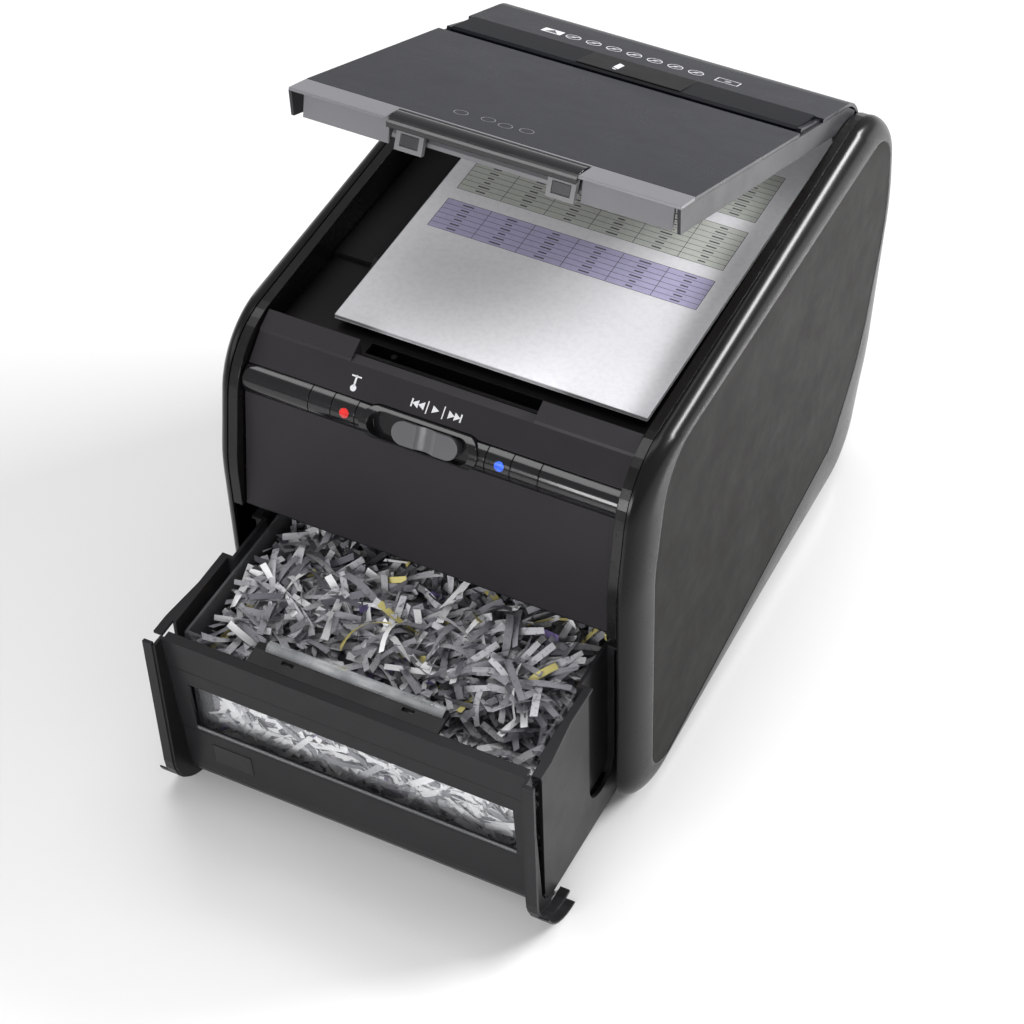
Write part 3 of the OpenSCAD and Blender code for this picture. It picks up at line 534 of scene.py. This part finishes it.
def strip(verts, faces, centre, heading, tilt, roll, length, width, bend, twist):
    """Adds one curled and twisted strip of paper to verts and faces."""
    d = np.array([math.cos(heading) * math.cos(tilt), math.sin(heading) * math.cos(tilt), math.sin(tilt)])
    up = np.array([0, 0, 1.0])
    side = np.cross(d, up)
    side /= np.linalg.norm(side) + 1e-9
    nor = np.cross(side, d)
    side, nor = side * math.cos(roll) + nor * math.sin(roll), nor * math.cos(roll) - side * math.sin(roll)
    base = len(verts)
    for i in range(STRIP_SEGMENTS + 1):
        t = i / STRIP_SEGMENTS - 0.5
        p = centre + d * length * t * (1 - 0.15 * bend * bend) + nor * length * bend * (0.25 - t * t)
        a = twist * t
        s = side * math.cos(a) + nor * math.sin(a)
        verts.append(p - s * width / 2)
        verts.append(p + s * width / 2)
    for i in range(STRIP_SEGMENTS):
        k = base + 2 * i
        faces.append([k, k + 1, k + 3, k + 2])


def window_strip(kind):
    """A strip standing flat behind the window, where most are white."""
    x = rng.uniform(*WINDOW_X)
    kind = 0 if rng.random() < 0.65 else kind
    y = rng.uniform(*WINDOW_Y)
    z = rng.uniform(*WINDOW_Z)
    heading = rng.uniform(-0.5, 0.5) + (math.pi if rng.random() < 0.5 else 0)
    tilt = rng.uniform(-1.1, 1.1)
    roll = math.pi / 2 + rng.uniform(-0.35, 0.35)
    return kind, np.array([x, y, z]), heading, tilt, roll, rng.uniform(30, 46)


def heap_strip():
    """A strip lying in the top of the heap."""
    x = rng.uniform(-HEAP_X, HEAP_X)
    y = HEAP_FRONT + HEAP_DEPTH * rng.random() ** 1.35
    z = pile_z(x, y) + rng.uniform(-13, 4)
    heading = rng.uniform(0, 2 * math.pi)
    tilt = rng.normal(0, 0.35)
    return np.array([x, y, z]), heading, tilt, rng.normal(0, 0.6)


def keep_in_tub(c, heading, tilt, length):
    """Moves a strip's centre so that its ends stay inside the tub."""
    reach = abs(math.cos(heading)) * length / 2
    c[0] = np.clip(c[0], -TUB_X + reach, TUB_X - reach)
    reach = abs(math.sin(heading)) * length / 2
    c[1] = np.clip(c[1], TUB_FRONT + reach, TUB_BACK - reach)
    rise = abs(math.sin(tilt)) * length / 2
    if HOOD_X0 < c[0] < HOOD_X1 and c[1] - reach < HOOD_BACK:
        c[2] = min(c[2], HOOD_FOOT - rise)
    c[2] = min(c[2], HEAP_TOP - rise)
    c[2] = max(c[2], TUB_FLOOR + rise)


def shreds():
    """All loose strips, in one piece for each paper."""
    groups = [([], []) for _ in shred_ms]
    for _ in range(STRIPS):
        kind = int(rng.choice(len(shred_ms), p=SHARES))
        length = float(rng.uniform(22, 46))
        at_window = rng.random() < AT_WINDOW
        if at_window:
            kind, c, heading, tilt, roll, length = window_strip(kind)
        else:
            c, heading, tilt, roll = heap_strip()
        keep_in_tub(c, heading, tilt, length)
        bend, twist = (0.15, 0.4) if at_window else (0.35, 0.9)
        verts, faces = groups[kind]
        strip(verts, faces, c, heading, tilt, roll, length,
              rng.uniform(3.8, 4.8), rng.normal(0, bend), rng.normal(0, twist))
    for k, (verts, faces) in enumerate(groups):
        ob = mesh_piece(f"shreds_{k}", [drawer_place(*v) for v in verts], faces, shred_ms[k].m, smooth=True)
        finish_piece(ob, "drawer")


def shred_core():
    """Bumpy mass under the loose strips, so no light passes through the heap."""
    xs = np.linspace(-CORE_X, CORE_X, 57)
    ys = np.linspace(CORE_FRONT, CORE_BACK, 69)
    verts, faces = [], []
    for y in ys:
        for x in xs:
            verts.append(drawer_place(x, y, pile_z(x, y) - CORE_DOWN + rng.uniform(-2.5, 2.5)))
    nx, ny = len(xs), len(ys)
    for j in range(ny - 1):
        for i in range(nx - 1):
            k = j * nx + i
            faces.append([k, k + 1, k + nx + 1, k + nx])
    ring = list(range(nx)) + [j * nx + nx - 1 for j in range(1, ny)]
    ring += [(ny - 1) * nx + i for i in range(nx - 2, -1, -1)] + [j * nx for j in range(ny - 2, 0, -1)]
    low = len(verts)
    for k in ring:
        x, y, _ = verts[k]
        verts.append((x, y, CORE_FOOT * MM))
    m = len(ring)
    for i in range(m):
        faces.append([ring[i], low + i, low + (i + 1) % m, ring[(i + 1) % m]])
    faces.append([low + i for i in range(m)])
    finish_piece(fix_normals(mesh_piece("shred_core", verts, faces, shred_ms[2].m)), "drawer")


shred_core()
shreds()


# ---- printed and moulded marks ----
PRINT = 0.12  # thickness of a printed mark
FASCIA_TILT, FASCIA_Y, FASCIA_Z = math.radians(41.5), 25, 271.3


def on_slope(a, b, h):
    """Front slope above the control bar: a across, b up the slope from its lower edge."""
    c, s = math.cos(FASCIA_TILT), math.sin(FASCIA_TILT)
    return place(a, FASCIA_Y + b * c - h * s, FASCIA_Z + b * s + h * c)


def on_lid(a, b, h):
    """Top of the lid: a across, b back as on the shut lid."""
    return lid_place(a, b, lid_z(b) + h)


def on_front(a, b, h):
    """Leaning front of the drawer: a across, b is the height."""
    lean = (FRONT_FOOT[0] - FRONT_TOP[0]) / (FRONT_TOP[1] - FRONT_FOOT[1])
    return drawer_place(a, FRONT_TOP[0] + (FRONT_TOP[1] - b) * lean - h, b)


def ring_piece(name, x, y, r, w, high, material):
    """Flat ring on the top of the lid: radius r, width w, thickness high."""
    n = 32
    outer, inner = circle(x, y, r, n), circle(x, y, r - w, n)
    verts = [on_lid(a, b, high) for a, b in outer] + [on_lid(a, b, high) for a, b in inner]
    verts += [on_lid(a, b, 0.0) for a, b in outer] + [on_lid(a, b, 0.0) for a, b in inner]
    faces = []
    for i in range(n):
        j = (i + 1) % n
        faces += [[i, j, n + j, n + i], [2 * n + j, 2 * n + i, 3 * n + i, 3 * n + j],
                  [j, i, 2 * n + i, 2 * n + j], [n + i, n + j, 3 * n + j, 3 * n + i]]
    finish_piece(fix_normals(mesh_piece(name, verts, faces, material)), "lid")


def fascia_mark(name, outline):
    slab(name, outline, 0.0, PRINT, on_slope, icon_m.m, body="chassis")


def lid_mark(name, outline, material, low=0.0, high=PRINT):
    slab(name, outline, low, high, on_lid, material.m, body="lid")


# skip, play and overheating symbols above the control bar
MARK_LOW, MARK_MID, MARK_HIGH = 6.2, 8.7, 11.2
for i, (x, flip) in enumerate(((-11.6, -1), (11.5, 1))):
    for k in range(2):
        a = x + flip * (4.0 * k - 3.5)
        fascia_mark(f"skip_{i}_{k}", [(a, MARK_LOW), (a, MARK_HIGH), (a + flip * 4.0, MARK_MID)])
    a = x + flip * 4.8
    fascia_mark(f"skip_{i}_bar", rect(a - 0.5, a + 0.5, MARK_LOW, MARK_HIGH))
fascia_mark("play_mark", [(-2.6, 6.4), (-2.6, 11.0), (1.8, MARK_MID)])
for i, x in enumerate((-6.1, 4.7)):
    fascia_mark(f"divider_{i}", rect(x - 0.35, x + 0.35, 4.8, 12.6))
fascia_mark("heat_stem", rect(-55.7, -54.5, 6.4, 13.4))
fascia_mark("heat_bulb", circle(-55.1, 5.4, 2.0))
fascia_mark("heat_bar", rect(-58.4, -51.8, 12.2, 13.1))

# row of generic symbols on the rear of the lid
SYM_Y = 307.0
SYM_X, SYM_PITCH = -58, 14.6
lid_mark("warn_frame", rect(-80, -66, SYM_Y - 4.4, SYM_Y + 4.6), icon_m)
lid_mark("warn_mark", [(-77.4, SYM_Y - 3.0), (-68.6, SYM_Y - 3.0), (-73, SYM_Y + 3.4)], ink_m, PRINT, 0.2)
for i in range(7):
    x = SYM_X + SYM_PITCH * i
    ring_piece(f"symbol_ring_{i}", x, SYM_Y, 5.2, 0.55, PRINT, icon_m.m)
    bar = [(x - 3.9, SYM_Y - 3.2), (x - 3.3, SYM_Y - 3.8), (x + 3.9, SYM_Y + 3.2), (x + 3.3, SYM_Y + 3.8)]
    lid_mark(f"symbol_bar_{i}", bar, icon_m)
    lid_mark(f"symbol_dot_{i}", rect(x - 1.4, x + 1.4, SYM_Y - 1.6, SYM_Y + 2.2), icon_dim_m, 0.0, 0.1)
PLATE_EDGES = ((44, 60, 4.0, 4.6), (44, 60, -4.6, -4.0), (59.4, 60, -4.6, 4.6), (44, 44.6, -4.6, 4.6))
for x0, x1, y0, y1 in PLATE_EDGES:
    lid_mark(f"plate_edge_{x0}_{y0}".replace("-", "m"), rect(x0, x1, SYM_Y + y0, SYM_Y + y1), icon_m)
lid_mark("plate_mark", rect(50, 54, SYM_Y - 2, SYM_Y + 2), icon_dim_m)

# sheet symbol on the slot bar and its matt middle
MATT_TOP = 1.75
slab("slot_matt", rect(-32, 40, 254.2, 284.4), 0.9, MATT_TOP, on_lid, dark_m.m, 0.3, "lid")
sheet_sign = [(-10.0, 263), (-6.0, 261), (-6.0, 272), (-10.0, 274)]
lid_mark("sheet_symbol", sheet_sign, icon_m, MATT_TOP, 1.9)
sheet_foot = [(-9.4, 259.5), (-6.6, 258.3), (-6.6, 259.8), (-9.4, 261)]
lid_mark("sheet_symbol_foot", sheet_foot, icon_m, MATT_TOP, 1.9)

# darker panes let into the two latch tabs
for i, x in enumerate((-56.0, 41.5)):
    slab(f"tab_pane_{i}", rect(x + 3.4, x + 14.6, 277.8, 284.6), 62.9, 63.3,
         lambda a, b, h: lid_place(a, h, b), tab_in_m.m, 0.2, "lid")

# faint outlined symbols near the front of the lid
for i, x in enumerate((-34, -17, -5, 8)):
    ring_piece(f"front_symbol_{i}", x, 98 + 2 * (i % 2), 4.4, 0.35, 0.06, icon_dim_m.m)

# plain raised plate on the drawer's front, clear lip under the window, and the front's two seams
slab("drawer_plate", rect(-104, -76, 34, 52), 0.0, 0.35, on_front, trim_m.m, 0.15, "drawer")
slab("window_lip", rect(-112.5, 112.5, 64.5, 67.4), 0.0, 0.7, on_front, clear_m.m, 0.3,
     "drawer")
for i, z in enumerate((122.5, 61.0)):
    slab(f"front_seam_{i}", rect(-124.8, 124.8, z, z + 0.5), -0.02, 0.05, on_front, dark_m.m, body="drawer")


def half_round(name, x0, x1, y, z, r, material):
    """Half-round clear bar across the drawer, with its flat side down."""
    n = 12
    verts, faces = [], []
    for x in (x0, x1):
        for i in range(n + 1):
            a = math.pi * i / n
            verts.append(drawer_place(x, y + r * math.cos(a), z + r * math.sin(a)))
    m = n + 1
    for i in range(n):
        faces.append([i, i + 1, m + i + 1, m + i])
    faces += [[0, m, m + n, n], list(range(m)), list(range(m, 2 * m))[::-1]]
    finish_piece(fix_normals(mesh_piece(name, verts, faces, material, True)), "drawer")


half_round("hood_clear_strip", -66, 55.5, 34.6, 141.2, 4.2, strip_highlight_m.m)

# ---- floor, light and camera ----
FLOOR_HALF = 9
floor_m = Mat("studio_floor", (0.67, 0.67, 0.67), 0.22)
floor_m.tint(floor_m.noise(1.2, 2), (0.66, 0.66, 0.66), (0.68, 0.68, 0.68))
corners = rect(-FLOOR_HALF, FLOOR_HALF, -FLOOR_HALF, FLOOR_HALF)
floor = mesh_piece("studio_floor", [(x, y, 0) for x, y in corners], [[0, 1, 2, 3]], floor_m.m)

world = bpy.data.worlds.new("studio")
bpy.context.scene.world = world
world.use_nodes = True
background = world.node_tree.nodes["Background"]
background.inputs["Color"].default_value = (1, 1, 1, 1)
background.inputs["Strength"].default_value = 0.38
bpy.context.scene.view_settings.view_transform = "Standard"


def area(name, loc, target, size, size_y, power):
    """Rectangular lamp at loc that faces target, in metres and watts."""
    data = bpy.data.lights.new(name, "AREA")
    data.energy = power
    data.shape = "RECTANGLE"
    data.size = size
    data.size_y = size_y
    ob = bpy.data.objects.new(name, data)
    ob.location = loc
    ob.rotation_euler = (Vector(target) - Vector(loc)).to_track_quat("-Z", "Y").to_euler()
    bpy.context.scene.collection.objects.link(ob)


area("top_soft", (-0.25, 0.35, 2.1), (0, 0, 0.15), 1.8, 1.4, 27)
area("rear_rim", (1.45, 1.45, 1.15), (0.12, 0.1, 0.28), 1.1, 0.45, 85)
area("left_fill", (-1.7, -0.9, 1.1), (0, -0.1, 0.2), 1.2, 0.9, 9)
area("front_low", (0.0, -1.9, 0.75), (0, -0.25, 0.10), 1.1, 0.6, 29)

# the photo's camera, from a least-squares solve
CAMERA_AT = (604.9, -976.7, 1389.6)
CAMERA_DOWN, CAMERA_TURN = 45.654, 25.819  # degrees below level, and round from straight ahead
camera = bpy.data.cameras.new("photo_camera")
camera.lens = 96.33
camera.sensor_width = 36
camera.shift_x = -0.101
camera.clip_start = 0.05
camera.clip_end = 60
cam = bpy.data.objects.new("photo_camera", camera)
cam.location = place(*CAMERA_AT)
cam.rotation_euler = (math.radians(90 - CAMERA_DOWN), 0, math.radians(CAMERA_TURN))
bpy.context.scene.collection.objects.link(cam)
bpy.context.scene.camera = cam
